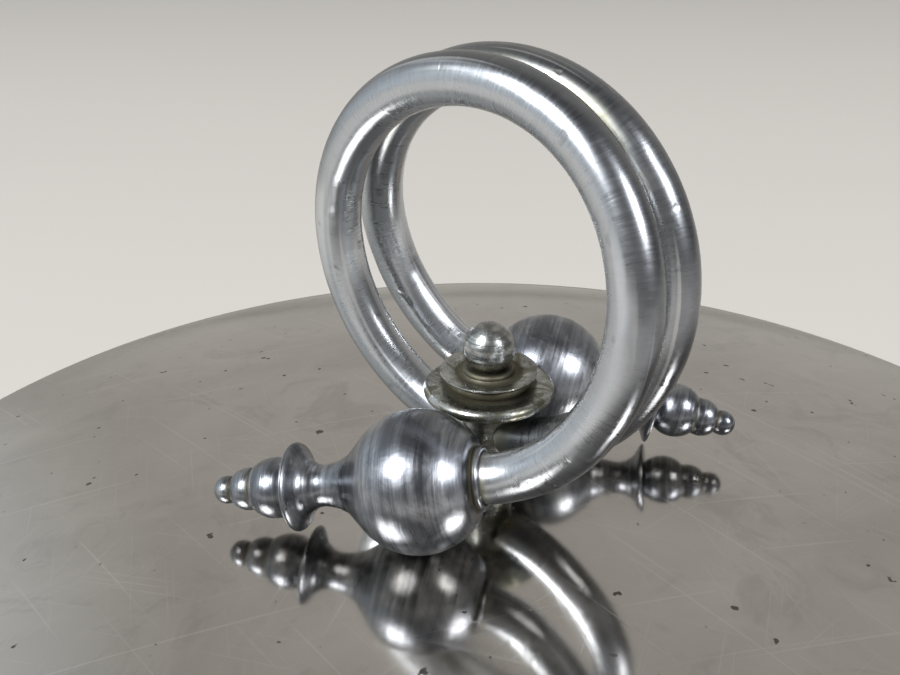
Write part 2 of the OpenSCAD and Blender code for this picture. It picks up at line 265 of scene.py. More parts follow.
def hollows(outline, reach):
    """How deep in a hollow each point of an outline lies, 0 to 1: the turns to the right near it,
    weighted by exp(-(distance / reach)^2 / 2)."""
    side = np.diff(outline, axis=0)
    heading = np.unwrap(np.arctan2(side[:, 1], side[:, 0]))
    inward = np.concatenate([[0], np.maximum(0, -np.diff(heading)), [0]])
    at = travelled(outline)
    near = np.exp(-0.5 * ((at[:, None] - at[None, :]) / reach) ** 2)
    return np.clip(near @ inward / FULL_HOLLOW, 0, 1)


def ripple(x, seed, waves, shortest, longest):
    """A smooth uneven line through 0: the mean of sines with chosen lengths and fixed, seeded phases."""
    chance = np.random.default_rng(seed)
    span = np.exp(chance.uniform(np.log(shortest), np.log(longest), waves))
    phase = chance.uniform(0, 2 * pi, waves)
    return np.sin(2 * pi * np.asarray(x)[..., None] / span + phase).mean(-1)


# ---------------------------------------------------------------- meshes

def skin(name, grid, first=None, last=None, loop=False, place=None, grime=None):
    """Makes a mesh from a grid of points: corner (i, k) of a face joins (i, k + 1), (i + 1, k + 1)
    and (i + 1, k). It's closed across the last column, and at each end by a fan to a point or, with
    loop, by the first row. place and grime are values of the points, which the finishes read."""
    count, across = grid.shape[:2]
    index = np.arange(count * across).reshape(count, across)
    beside = np.roll(index, -1, 1)
    low, high = (index, np.roll(index, -1, 0)) if loop else (index[:-1], index[1:])
    low_beside, high_beside = np.roll(low, -1, 1), np.roll(high, -1, 1)
    quads = np.stack([low, low_beside, high_beside, high], -1).reshape(-1, 4)
    points, fans, extra = [grid.reshape(-1, 3)], [], []
    for pole, rim, back in ((first, 0, True), (last, -1, False)):
        if pole is None:
            continue
        tip = np.full(across, count * across + len(extra))
        pair = (beside[rim], index[rim]) if back else (index[rim], beside[rim])
        fans.append(np.stack([*pair, tip], -1))
        points.append(np.asarray(pole, float)[None])
        extra.append(rim)
    triangles = np.concatenate(fans) if fans else np.zeros((0, 3), int)
    points = np.concatenate(points)

    mesh = bpy.data.meshes.new(name)
    corners = np.concatenate([quads.ravel(), triangles.ravel()]).astype(np.int32)
    starts = np.concatenate([
        4 * np.arange(len(quads)),
        4 * len(quads) + 3 * np.arange(len(triangles)),
    ])
    mesh.vertices.add(len(points))
    mesh.vertices.foreach_set("co", points.astype(np.float32).ravel())
    mesh.loops.add(len(corners))
    mesh.loops.foreach_set("vertex_index", corners)
    mesh.polygons.add(len(starts))
    mesh.polygons.foreach_set("loop_start", starts.astype(np.int32))
    mesh.update(calc_edges=True)
    mesh.validate()
    mesh.shade_smooth()
    mesh.set_sharp_from_angle(angle=radians(SHARP_EDGE))
    for label, kind, field, values in (
        ("place", "FLOAT_VECTOR", "vector", place),
        ("grime", "FLOAT", "value", grime),
    ):
        if values is None:
            continue
        flat = values.reshape(count * across, -1)
        rims = [flat[-across:] if rim else flat[:across] for rim in extra]
        flat = np.concatenate([flat, *[rim.mean(0)[None] for rim in rims]])
        layer = mesh.attributes.new(label, kind, "POINT")
        layer.data.foreach_set(field, flat.astype(np.float32).ravel())
    piece = bpy.data.objects.new(name, mesh)
    bpy.context.scene.collection.objects.link(piece)
    return piece


def axes(origin, x_dir, z_dir):
    """Origin and right-handed axes, with z along z_dir and x along x_dir."""
    return tuple(np.asarray(v, float) for v in (origin, x_dir, np.cross(z_dir, x_dir), z_dir))


UPRIGHT = axes((0, 0, 0), (1, 0, 0), (0, 0, 1))


def lathe(name, outline, sides, stand=UPRIGHT, loop=False, reach=0.4 * MM, cut=None):
    """Turns an outline of (radius, height) about an axis:
    point(a, h) = origin + radius * (cos a * x + sin a * y) + height * z.
    The outline runs counter-clockwise, from axis to axis, or all round with loop.
    cut(a, radius, height) is taken off the radius and height as a pair."""
    origin, x, y, z = stand
    grimy = hollows(outline, reach)
    if loop:
        body, tips = outline[:-1], (None, None)
        grimy = grimy[:-1]
    else:
        body = outline[1:-1]
        tips = tuple(origin + end[1] * z for end in (outline[0], outline[-1]))
        grimy = grimy[1:-1]
    a = 2 * pi * np.arange(sides) / sides
    radius, height = (np.broadcast_to(body[:, column, None], (len(body), sides)) for column in (0, 1))
    if cut is not None:
        off_radius, off_height = cut(a[None, :], radius, height)
        radius, height = radius - off_radius, height - off_height
    round_x, round_y = radius * np.cos(a), radius * np.sin(a)
    grid = origin + round_x[..., None] * x + round_y[..., None] * y + height[..., None] * z
    return skin(
        name, grid, *tips, loop=loop,
        place=np.stack([round_x, round_y, height], -1),
        grime=np.broadcast_to(grimy[:, None], (len(body), sides)),
    )


def sweep(name, path, radius, sides, grime):
    """Carries a circle along a path: point(s, a) = path(s) + radius(s, a) * (cos a * u + sin a * v),
    where d is the path's direction, u is the part of Y across d, and v = d x u. Flat ends."""
    heading = np.gradient(path, axis=0)
    heading /= np.linalg.norm(heading, axis=1, keepdims=True)
    u = np.array([0, 1, 0]) - heading[:, 1:2] * heading
    u /= np.linalg.norm(u, axis=1, keepdims=True)
    v = np.cross(heading, u)
    a = 2 * pi * np.arange(sides) / sides
    s = travelled(path)
    r = radius(s[:, None], a[None, :])
    along_u, along_v = r * np.cos(a), r * np.sin(a)
    grid = path[:, None] + along_u[..., None] * u[:, None] + along_v[..., None] * v[:, None]
    place = np.stack([along_u, along_v, np.broadcast_to(s[:, None], r.shape)], -1)
    return skin(name, grid, path[0], path[-1], place=place, grime=grime(grid))


def half_turned(points):
    """Points turned 180 degrees about the bowl's axis."""
    return points * np.array([-1, -1, 1])


# ---------------------------------------------------------------- layout

def lid_layout(s):
    """Levels and radii of the lid: the dome is a sphere, z(r) = centre + sqrt(dome_r^2 - r^2)."""
    n = SimpleNamespace()
    n.mouth_r = s.bowl.mouth_d / 2
    n.seat_z = s.bowl.rim_height + s.lid.seat_clearance
    n.hem_r = n.mouth_r + s.bowl.rim_land + s.lid.hem_overhang
    n.hem_round = s.lid.hem_h / 2
    n.hem_top_r = n.hem_r - n.hem_round
    n.hem_land_r = n.mouth_r + s.lid.bezel_clearance
    n.centre_z = n.seat_z + s.lid.hem_h - sqrt(s.lid.dome_r**2 - n.hem_top_r**2)
    n.top_z = n.centre_z + s.lid.dome_r
    n.under_r = s.lid.dome_r - s.lid.lid_wall
    n.dome_z = lambda r, out: n.centre_z + np.sqrt(r**2 - np.asarray(out) ** 2)
    n.washer_top_z = float(n.dome_z(n.under_r, s.screw.washer_d / 2)) - s.screw.joint_gap
    return n


def handle_layout(s):
    """The rod's route and the finials' places. Both halves of a ring start side by side at the top.
    Outer half: (R sin t, y - R (1 - cos t) sin splay, -R (1 - cos t) cos splay), then a bend of
    radius bend_r to the tail. Inner half: the same with its own lean, mirrored in X, down to the post."""
    k, f, lid = s.rings, s.finials, lid_layout(s)
    n = SimpleNamespace(rod_r=k.rod_d / 2, post_r=f.post_d / 2, ball_r=f.ball_d / 2)
    n.top_y = -(k.rod_d + k.rod_gap) / 2
    n.inner_lean = -np.arcsin(-n.top_y / (2 * k.ring_r))

    def on_ring(t, lean):
        t = np.asarray(t, float)
        drop = k.ring_r * (1 - np.cos(t))
        return np.stack([k.ring_r * np.sin(t), n.top_y - drop * sin(lean), -drop * cos(lean)], -1)

    end = pi - k.ring_end
    start = on_ring(end, k.splay)
    into = np.array([cos(end), -sin(end) * sin(k.splay), -sin(end) * cos(k.splay)])
    level = cos(k.tail_droop)
    n.tail = np.array([-level * cos(k.tail_turn), -level * sin(k.tail_turn), -sin(k.tail_droop)])
    n.bend_axis = np.cross(into, n.tail)
    n.bend_axis /= np.linalg.norm(n.bend_axis)
    turn = np.arccos(into @ n.tail)
    outward = np.cross(n.bend_axis, into)
    centre = start + k.bend_r * outward
    a = np.linspace(turn, 0, BEND_POINTS)[:, None]
    bend = centre - k.bend_r * (np.cos(a) * outward - np.sin(a) * into)

    # The finial's own lengths, from the middle of the ball.
    n.lip_w, n.lip_r, n.lip_at = LIP_WIDTH, n.rod_r + LIP_STEP, -LIP_PLACE * n.ball_r
    n.ball = bend[0] + (k.tail_lead + n.lip_w - n.lip_at) * n.tail
    out = float(np.hypot(n.ball[0], n.ball[1]))
    rest = s.lid.dome_r + n.ball_r + f.ball_clearance
    ball_z = lid.centre_z + sqrt(rest**2 - out**2)
    top_z = ball_z - n.ball[2]
    n.inner_end_z = top_z - 2 * k.ring_r * cos(n.inner_lean)

    inner_end = pi - np.arcsin(n.post_r / k.ring_r)
    tail_end = n.ball + (n.lip_at + f.socket_depth - s.screw.joint_gap) * n.tail
    tail_steps = np.linspace(0, 1, TAIL_POINTS)[:-1, None]
    n.path = np.concatenate([
        tail_end + tail_steps * (bend[0] - tail_end),
        bend,
        on_ring(np.linspace(end, 0, RING_POINTS)[1:], k.splay),
        on_ring(np.linspace(0, inner_end, RING_POINTS)[1:-1], n.inner_lean) * [-1, 1, 1],
        [[-n.post_r - s.screw.joint_gap, 0, -2 * k.ring_r * cos(n.inner_lean)]],
    ]) + [0, 0, top_z]
    n.ball = n.ball + [0, 0, top_z]

    # The centre finial's levels, clear of the strands that rise from the post and of the balls.
    def strand_top(out):
        return n.inner_end_z + k.ring_r - sqrt((k.ring_r - n.rod_r) ** 2 - out**2)

    n.cone_r = n.post_r + CONE_STEP
    n.cone_z = strand_top(n.cone_r) + f.flange_clearance
    n.flange_h = FLANGE_THICK
    n.flange_r = (f.lower_flange_d - n.flange_h) / 2
    apart, clear = out - n.flange_r, n.ball_r + n.flange_h / 2 + f.flange_clearance
    n.flange_z = max(
        strand_top(f.lower_flange_d / 2) + n.flange_h / 2 + f.flange_clearance,
        ball_z + sqrt(max(0, clear**2 - apart**2)),
    )
    return n


# ---------------------------------------------------------------- finishes

# Places of the sockets of a Mix node that mixes colours, among its sockets for other kinds.
MIX_SHARE, MIX_FIRST, MIX_SECOND, MIX_COLOUR = 0, 6, 7, 2

# Colours of marks on the metals, and one painted shade for the rods' outer sides.
SCRATCHED = (0.80, 0.79, 0.77)
DEEP_SCRATCHED = (0.82, 0.81, 0.79)
DARK_SPECK = (0.06, 0.054, 0.045)
ROD_SCRATCHED = (0.88, 0.88, 0.88)
# Painted shade: the dark colour of the rods' outer sides, which stands in for the dark room that they
# reflect.
ROD_PAINTED_SHADE = (0.125, 0.13, 0.14)
ROD_HATCHED = (0.27, 0.28, 0.30)
ROD_DENT = (0.24, 0.24, 0.23)
ROD_SEAM = (0.25, 0.24, 0.155)
POST_STAIN = (0.10, 0.10, 0.095)
POST_FILM = (0.15, 0.145, 0.095)


def shade(colour, share):
    """A share of a colour."""
    return tuple(channel * share for channel in colour)


class Socket:
    """A value that comes out of a node. Sums of such values add the nodes that work them out."""

    def __init__(self, finish, socket):
        self.finish, self.socket = finish, socket

    def math(self, operation, *values):
        """Adds a Math node on these values."""
        return self.finish.node("ShaderNodeMath", {"operation": operation}, dict(enumerate(values)))

    def __add__(self, other):
        return self.math("ADD", self, other)

    def __rsub__(self, other):
        return self.math("SUBTRACT", other, self)

    def __mul__(self, other):
        return self.math("MULTIPLY", self, other)

    __radd__ = __add__
    __rmul__ = __mul__

    def above(self, low, high):
        """0 below low, 1 above high, and smooth between them; with low above high, the other way."""
        return self.finish.node(
            "ShaderNodeMapRange", {"interpolation_type": "SMOOTHSTEP", "clamp": True},
            {"Value": self, "From Min": low, "From Max": high, "To Min": 0.0, "To Max": 1.0},
        )

    def most(self, other):
        """The greater of two values."""
        return self.math("MAXIMUM", self, other)


class Finish:
    """One metal or floor finish, with the ways of adding nodes to it."""

    def __init__(self, name, metallic=1.0):
        self.material = bpy.data.materials.new(name + FINISH_ENDING)
        self.material.use_nodes = True
        self.nodes = self.material.node_tree.nodes
        self.links = self.material.node_tree.links
        self.shader = next(n for n in self.nodes if n.type == "BSDF_PRINCIPLED")
        self.shader.inputs["Metallic"].default_value = metallic
        self.object_place = self.node("ShaderNodeTexCoord", {}, {}, "Object")

    def node(self, kind, settings, values, output=0):
        """Adds a node: its settings first, then its sockets' values or links. Returns one output."""
        made = self.nodes.new(kind)
        for name, value in settings.items():
            setattr(made, name, value)
        for socket, value in values.items():
            self.feed(made.inputs[socket], value)
        return Socket(self, made.outputs[output])

    def feed(self, target, value):
        """Puts a value or a link into a socket."""
        if isinstance(value, Socket):
            self.links.new(value.socket, target)
        elif hasattr(target.default_value, "__len__") and len(target.default_value) == 4:
            target.default_value = (*value, 1.0)
        else:
            target.default_value = value

    def attribute(self, name, output="Fac"):
        """A value kept with the piece's points."""
        return self.node("ShaderNodeAttribute", {"attribute_name": name}, {}, output)

    def turned(self, place, scale, turn=(0, 0, 0), shift=(0, 0, 0)):
        """A place turned by some degrees, then scaled along each axis."""
        spun = self.node(
            "ShaderNodeVectorRotate", {"rotation_type": "EULER_XYZ"},
            {"Vector": place, "Rotation": tuple(map(radians, turn))},
        )
        moved = self.node("ShaderNodeVectorMath", {"operation": "MULTIPLY"}, {0: spun, 1: scale})
        return self.node("ShaderNodeVectorMath", {"operation": "ADD"}, {0: moved, 1: shift})

    def noise(self, place, scale=1.0, detail=2.0, roughness=0.5, distortion=0.0):
        """Smooth uneven noise about 0.5."""
        return self.node(
            "ShaderNodeTexNoise", {},
            {
                "Vector": place, "Scale": scale, "Detail": detail,
                "Roughness": roughness, "Distortion": distortion,
            },
        )

    def mix(self, factor, first, second):
        """A colour between two colours."""
        values = {MIX_SHARE: factor, MIX_FIRST: first, MIX_SECOND: second}
        return self.node("ShaderNodeMix", {"data_type": "RGBA"}, values, MIX_COLOUR)

    def scratches(self, place, turns, fineness, run, low, high):
        """Thin straight scratches in several directions: noise of fineness waves to the metre, run
        times longer along a scratch than across it, from nothing at low to a full scratch at high."""
        lines = None
        for number, turn in enumerate(turns):
            elsewhere = (13.7 * number, 5.1 * number, 0)
            across = self.turned(place, (fineness, fineness / run, fineness / run), turn, elsewhere)
            line = self.noise(across, detail=1.0, roughness=0.4).above(low, high)
            lines = line if lines is None else lines.most(line)
        return lines

    def bump(self, height, depth, under=None):
        """A normal from a height between 0 and 1, where 1 stands depth metres proud."""
        values = {"Height": height, "Distance": depth, "Strength": 1.0}
        if under is not None:
            values["Normal"] = under
        return self.node("ShaderNodeBump", {}, values)

    def done(self, colour, roughness, normal=None):
        """Feeds the shader and returns the material."""
        self.feed(self.shader.inputs["Base Color"], colour)
        self.feed(self.shader.inputs["Roughness"], roughness)
        if normal is not None:
            self.feed(self.shader.inputs["Normal"], normal)
        return self.material


def polished_finish(s):
    """Worn polish: a mirror with fine scratches every way, dark specks, hazy stains, and long
    shallow hollows from hand work."""
    f = Finish("polished_lid")
    p = f.object_place
    wear, metal = s.colours.wear, tuple(s.colours.polished)
    haze = f.noise(p, 60, 4, 0.6, 0.6)
    all_ways = ((0, 0, 12), (0, 0, 71), (0, 0, 128), (0, 0, 163))
    fine = f.scratches(p, all_ways, fineness=4200, run=60, low=0.66, high=0.80)
    long = f.scratches(p, ((0, 0, 38), (0, 0, 102)), fineness=3000, run=90, low=0.69, high=0.78)
    speck = f.noise(p, 640, 2, 0.5).above(0.715, 0.75)
    stain = f.noise(p, 120, 5, 0.7, 1.5).above(0.52, 0.68)
    tone = f.mix(haze.above(0.3, 0.7), shade(metal, 0.86), metal)
    tone = f.mix(stain * 0.35, tone, shade(metal, 0.66))
    tone = f.mix(fine * (0.22 * wear), tone, SCRATCHED)
    tone = f.mix(long * (0.3 * wear), tone, DEEP_SCRATCHED)
    tone = f.mix(speck * 0.85, tone, DARK_SPECK)
    marked = fine * (0.1 * wear) + long * (0.1 * wear) + speck * 0.3
    roughness = haze * 0.05 + stain * 0.05 + marked + 0.08
    work = f.bump(f.noise(p, 48, 1.0, 0.4), depth=0.1 * MM)
    marks = f.bump(fine * 0.5 + long, depth=0.001 * MM, under=work)
    return f.done(tone, roughness, marks)


def spun_finish(s):
    """Satin polish: fine lines round the axis, softened by use."""
    f = Finish("spun_bowl")
    p, place = f.object_place, f.attribute("place", "Vector")
    wear, metal = s.colours.wear, tuple(s.colours.spun)
    lines = f.noise(f.turned(place, (25, 25, 7000)), 1.0, 3, 0.6)
    flat_place = f.turned(place, (1, 1, 0))
    out = f.node("ShaderNodeVectorMath", {"operation": "LENGTH"}, {0: flat_place}, "Value")
    rings = f.noise(f.node("ShaderNodeCombineXYZ", {}, {"X": out * 6000}), 1.0, 2, 0.6)
    cloud = f.noise(p, 60, 4, 0.6, 0.8)
    some_ways = ((20, 0, 33), (0, 40, 95), (70, 10, 150))
    fine = f.scratches(p, some_ways, fineness=2300, run=70, low=0.62, high=0.75)
    grime = (f.attribute("grime") * (cloud * 0.8 + 0.5)).above(0.12, 0.9)
    tone = f.mix(cloud.above(0.3, 0.72), shade(metal, 0.88), metal)
    tone = f.mix(fine * (0.1 * wear), tone, SCRATCHED)
    tone = f.mix(grime * 0.75, tone, tuple(s.colours.grime))
    roughness = lines * 0.12 + cloud * 0.08 + fine * (0.06 * wear) + grime * 0.25 + 0.12
    work = f.bump(f.noise(p, 48, 1, 0.4), depth=0.25 * MM)
    normal = f.bump(lines * 0.6 + rings * 0.4, depth=0.004 * MM, under=work)
    return f.done(tone, roughness, normal)


def rod_finish(s):
    """Bright satin: broken brush marks round the rod, a few long scratches, small dents, painted shade
    over the outer side for the dark room that it reflects, and tarnish where the rods meet each other and the
    post."""
    f = Finish("ring_rod")
    place = f.attribute("place", "Vector")
    wear, metal = s.colours.wear, tuple(s.colours.rod)
    brush = f.noise(f.turned(place, (420, 420, 5600)), 1.0, 3, 0.65)
    patch = f.noise(place, 210, 4, 0.65, 0.5)
    along = f.scratches(place, ((90, 0, 0), (88, 14, 0)), fineness=2400, run=50, low=0.64, high=0.74)
    dents = f.noise(f.object_place, 620, 1, 0.5).above(0.68, 0.80)
    hatch = brush.above(0.46, 0.62) * patch.above(0.42, 0.62)
    grime = (f.attribute("grime") * (patch * 1.6 + 0.2)).above(0.2, 0.62)
    side = f.node("ShaderNodeSeparateXYZ", {}, {0: place}, "Y")
    # Painted shade: the outer side of each rod is darkened towards this colour, standing in for the dark room
    # that it reflects.
    outer = side.above(-0.2 * MM, -1.8 * MM) * (patch * 0.8 + 0.6)
    tone = f.mix(brush.above(0.3, 0.7), shade(metal, 0.9), metal)
    tone = f.mix(outer * 0.8, tone, ROD_PAINTED_SHADE)
    tone = f.mix(hatch * (0.3 * wear), tone, ROD_HATCHED)
    tone = f.mix(along * (0.6 * wear), tone, ROD_SCRATCHED)
    tone = f.mix(dents * 0.5, tone, ROD_DENT)
    tone = f.mix(grime * 0.8, tone, ROD_SEAM)
    roughness = brush * 0.16 + patch * 0.16 + along * 0.08 + grime * 0.15 + 0.13
    patches = f.bump(patch, depth=0.018 * MM)
    marks = f.bump(brush.above(0.25, 0.8), depth=0.0022 * MM, under=patches)
    normal = f.bump(1 - dents, depth=0.03 * MM, under=marks)
    return f.done(tone, roughness, normal)


def finial_finish(s):
    """Turned and tarnished: fine marks round the axis, bright where it is rubbed, dark in the grooves."""
    f = Finish("turned_finial")
    place = f.attribute("place", "Vector")
    wear, metal = s.colours.wear, tuple(s.colours.ball)
    marks = f.noise(f.turned(place, (170, 170, 6000)), 1.0, 3, 0.7)
    bands = f.noise(f.turned(place, (60, 60, 1300)), 1.0, 2, 0.6)
    cloud = f.noise(f.object_place, 300, 5, 0.7, 0.8)
    grime = (f.attribute("grime") * (cloud * 1.4 + 0.3)).above(0.42, 1.0)
    rubbed = (cloud * 0.9 + marks * 0.5 + bands * 0.3).above(0.76, 1.08)
    tone = f.mix(bands.above(0.35, 0.65), shade(metal, 0.8), shade(metal, 1.25))
    tone = f.mix(rubbed * wear, tone, tuple(s.colours.ball_worn))
    tone = f.mix(grime * 0.9, tone, tuple(s.colours.grime))
    roughness = marks * 0.18 + cloud * 0.18 + grime * 0.25 + 0.13
    banded = f.bump(bands, depth=0.012 * MM, under=f.bump(cloud, depth=0.03 * MM))
    normal = f.bump(marks, depth=0.011 * MM, under=banded)
    return f.done(tone, roughness, normal)


def post_finish(s):
    """Turned, with thick olive brown tarnish everywhere except on the knob and the flanges' edges."""
    f = Finish("tarnished_knob")
    place = f.attribute("place", "Vector")
    metal = tuple(s.colours.post)
    marks = f.noise(f.turned(place, (240, 240, 5200)), 1.0, 3, 0.6)
    cloud = f.noise(f.object_place, 700, 5, 0.75, 0.8)
    grime = (f.attribute("grime") * (cloud * 1.6 + 0.2)).above(0.25, 0.95)
    height = f.node("ShaderNodeSeparateXYZ", {}, {0: place}, "Z")
    low = height.above(knob_clear(s), knob_clear(s) - 0.8 * MM)
    film = (low * (cloud + 0.35)).above(0.76, 0.94)
    tone = f.mix(marks.above(0.3, 0.7), shade(metal, 0.7), shade(metal, 1.4))
    tone = f.mix(cloud.above(0.46, 0.62) * 0.55, tone, POST_STAIN)
    tone = f.mix(film * 0.8, tone, POST_FILM)
    tone = f.mix(grime * 0.92, tone, tuple(s.colours.grime))
    roughness = marks * 0.12 + cloud * 0.2 + film * 0.10 + grime * 0.28 + 0.12
    normal = f.bump(marks, depth=0.012 * MM, under=f.bump(cloud, depth=0.03 * MM))
    return f.done(tone, roughness, normal)


def screw_finish(s):
    """Plated steel with tool marks."""
    f = Finish("plated_screw")
    p = f.object_place
    marks = f.noise(f.turned(p, (900, 900, 9000)), 1.0, 3, 0.6)
    cloud = f.noise(p, 600, 4, 0.6)
    tone = f.mix(cloud.above(0.35, 0.7), shade(s.colours.screw, 0.7), tuple(s.colours.screw))
    roughness = marks * 0.15 + cloud * 0.15 + 0.2
    return f.done(tone, roughness, f.bump(marks, depth=0.006 * MM))


def floor_finish(s):
    """A pale matt floor with a very faint mottle."""
    f = Finish("pale_floor", 0.0)
    mottle = f.noise(f.object_place, 6, 4, 0.6)
    tone = f.mix(mottle, shade(s.stage.floor, 0.97), tuple(s.stage.floor))
    grain = f.noise(f.object_place, 900, 2, 0.5)
    return f.done(tone, mottle * 0.1 + 0.55, f.bump(grain, depth=0.02 * MM))


def knob_clear(s):
    """Height just under the knob, above which the thick tarnish has been rubbed away."""
    n = handle_layout(s)
    above_flange = 1.9 * MM
    return n.flange_z + n.flange_h / 2 + above_flange


FINISHES = {
    "polished_lid": polished_finish,
    "spun_bowl": spun_finish,
    "ring_rod": rod_finish,
    "turned_finial": finial_finish,
    "tarnished_knob": post_finish,
    "plated_screw": screw_finish,
    "pale_floor": floor_finish,
}


def finish_of(s, slot):
    """The material of a finish, made when it's first asked for."""
    return bpy.data.materials.get(slot + FINISH_ENDING) or FINISHES[slot](s)


def fit_piece(s, piece, body, slot, *nodes):
    """Gives a piece its finish and makes it stand for its CAD nodes."""
    piece.data.materials.append(finish_of(s, slot))
    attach(piece, body)
    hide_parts(*nodes)


# ---------------------------------------------------------------- pieces

class SUGARBOWL_OT_bowl(bpy.types.Operator):
    """Spins the bowl's shell and its foot ring"""

    bl_idname = "sugar_bowl.bowl"
    bl_label = "Bowl and foot"

    def execute(self, context):
        s = sizes(context)
        b, mouth_r, bottom_r = s.bowl, s.bowl.mouth_d / 2, s.bowl.bottom_d / 2
        wall, half_roll = b.bowl_wall, b.rim_roll_h / 2
        # The wall is a cubic curve, (1-t)^3 a + 3t(1-t)^2 b + 3t^2(1-t) c + t^3 d, and the same
        # curve moved inwards by the wall's thickness along its own normal.
        low_pull, belly_height, wall_points = 2 * MM, 0.45 * b.rim_height, 90
        ends = np.array([
            [bottom_r, b.foot_h],
            [mouth_r + wall - low_pull, b.foot_h],
            [mouth_r + wall + b.belly_swell, belly_height],
            [mouth_r + wall, b.rim_height - b.rim_roll_h],
        ])
        t = np.linspace(0, 1, wall_points)[:, None]
        shares = np.concatenate([(1 - t) ** 3, 3 * (1 - t) ** 2 * t, 3 * (1 - t) * t**2, t**3], 1)
        outer = shares @ ends
        shares = np.concatenate([(1 - t) ** 2, 2 * (1 - t) * t, t**2], 1)
        slope = shares @ np.diff(ends, axis=0)
        slope /= np.linalg.norm(slope, axis=1, keepdims=True)
        inner = outer + wall * np.stack([-slope[:, 1], slope[:, 0]], 1)
        roll_centre = (mouth_r + b.rim_land - half_roll, b.rim_height - half_roll)
        roll = arc(roll_centre, half_roll, -90, 90, 16)
        lip = eased(rows(
            roll[-1],
            [mouth_r, b.rim_height],
            [mouth_r, b.rim_height - b.rim_roll_h],
            inner[-2],
        ), 0.3 * MM)
        step = 1.5 * MM
        floor = filled(rows(inner[0], [0, b.foot_h + wall]), step)
        under = filled(rows([0, b.foot_h], outer[0]), step)
        outline = rows(under[:-1], outer, roll, lip[1:-1], inner[-2:0:-1], floor)

        def spinning(a, radius, height):
            """Shallow rings and flats that spinning leaves, 0.02 to 0.1 mm deep."""
            rings = ripple(height, seed=14, waves=8, shortest=3 * MM, longest=20 * MM)
            leaning = height + 20 * MM * np.cos(a)
            flats = ripple(leaning, seed=15, waves=6, shortest=9 * MM, longest=40 * MM)
            return 0.02 * MM * (3 + rings + flats) * np.clip(radius / (20 * MM), 0, 1), 0 * height

        shell = lathe("bowl_shell_piece", outline, BOWL_SIDES, reach=0.8 * MM, cut=spinning)
        fit_piece(s, shell, "bowl", "spun_bowl", "bowl_shell")

        join_r, foot_r = bottom_r - b.foot_inset, b.foot_d / 2
        inner_r, round_r, toe_h = join_r - b.foot_wall, 0.6 * MM, 0.8 * MM
        foot_outline = eased(rows(
            [inner_r, 0.75 * b.foot_h],
            [inner_r, b.foot_h],
            [join_r, b.foot_h],
            [join_r + round_r / 2, 0.6 * b.foot_h],
            [foot_r - round_r, 1.5 * toe_h],
            [foot_r, toe_h],
            [foot_r, 0],
            [foot_r - b.foot_wall, 0],
            [inner_r, 0.5 * b.foot_h],
            [inner_r, 0.75 * b.foot_h],
        ), 0.25 * MM)
        outline = filled(foot_outline, 0.6 * MM)[::-1]
        foot = lathe("foot_ring_piece", outline, BOWL_SIDES, loop=True, reach=0.8 * MM)
        fit_piece(s, foot, "bowl", "spun_bowl", "foot_ring")
        return {"FINISHED"}


class SUGARBOWL_OT_lid(bpy.types.Operator):
    """Raises the domed lid with its rolled hem, and spins the bezel under it"""

    bl_idname = "sugar_bowl.lid"
    bl_label = "Lid and bezel"

    def execute(self, context):
        s = sizes(context)
        n = lid_layout(s)
        hole_r, step = s.screw.screw_d / 2 + s.screw.screw_clearance, 0.8 * MM
        out = np.linspace(hole_r, n.hem_top_r, 150)
        top = np.stack([out, n.dome_z(s.lid.dome_r, out)], 1)
        under_out = np.linspace(n.hem_land_r, hole_r, 70)
        under = np.stack([under_out, n.dome_z(n.under_r, under_out)], 1)
        edge = arc((n.hem_top_r, n.seat_z + n.hem_round), n.hem_round, 76, -90, 20)
        land_end = [n.hem_land_r, n.seat_z]
        land = filled(rows(edge[-1], land_end), step)
        inside = filled(rows(land_end, under[0]), step)
        hole = filled(rows(under[-1], top[0]), 0.5 * MM)
        outline = rows(top, edge, land[1:], inside[1:-1], under, hole[1:])

        def hollow(a, radius, height):
            """Hand work: two families of crossing ripples, faded out at the hole and the hem."""
            x, y = radius * np.cos(a), radius * np.sin(a)
            spread = {"waves": 9, "shortest": 14 * MM, "longest": 60 * MM}
            waves = ripple(x + 0.4 * y, 5, **spread) + ripple(y - 0.3 * x, 8, **spread)
            inner_z = n.dome_z(n.under_r, np.minimum(radius, n.hem_top_r))
            on_top = height > inner_z + 0.5 * s.lid.lid_wall
            fade_in = np.clip((radius - 4 * MM) / (8 * MM), 0, 1)
            fade_out = np.clip((n.hem_top_r - radius) / (4 * MM), 0, 1)
            return 0, s.lid.hand_work * (0.5 + 0.5 * waves) * fade_in * fade_out * on_top

        dome = lathe("lid_dome_piece", outline[::-1], LID_SIDES, loop=True, cut=hollow)
        fit_piece(s, dome, "lid", "polished_lid", "lid_dome")

        outer_r = n.mouth_r - s.lid.bezel_clearance
        inner_r = outer_r - s.lid.bezel_wall
        lead_in, gap = 0.4 * MM, s.screw.joint_gap + 0.1 * MM
        foot_z = n.seat_z - s.lid.bezel_h
        inner_z, outer_z = (float(n.dome_z(n.under_r, r)) for r in (inner_r, outer_r))
        side = [inner_r, (foot_z + inner_z) / 2]
        bezel_outline = eased(rows(
            side,
            [inner_r, foot_z],
            [outer_r - lead_in, foot_z],
            [outer_r, foot_z + 2 * lead_in],
            [outer_r, outer_z - gap],
            [inner_r, inner_z - gap],
            side,
        ), 0.2 * MM)
        outline = filled(bezel_outline, 0.6 * MM)
        bezel = lathe("lid_bezel_piece", outline, BOWL_SIDES, loop=True)
        fit_piece(s, bezel, "lid", "spun_bowl", "lid_bezel")
        return {"FINISHED"}


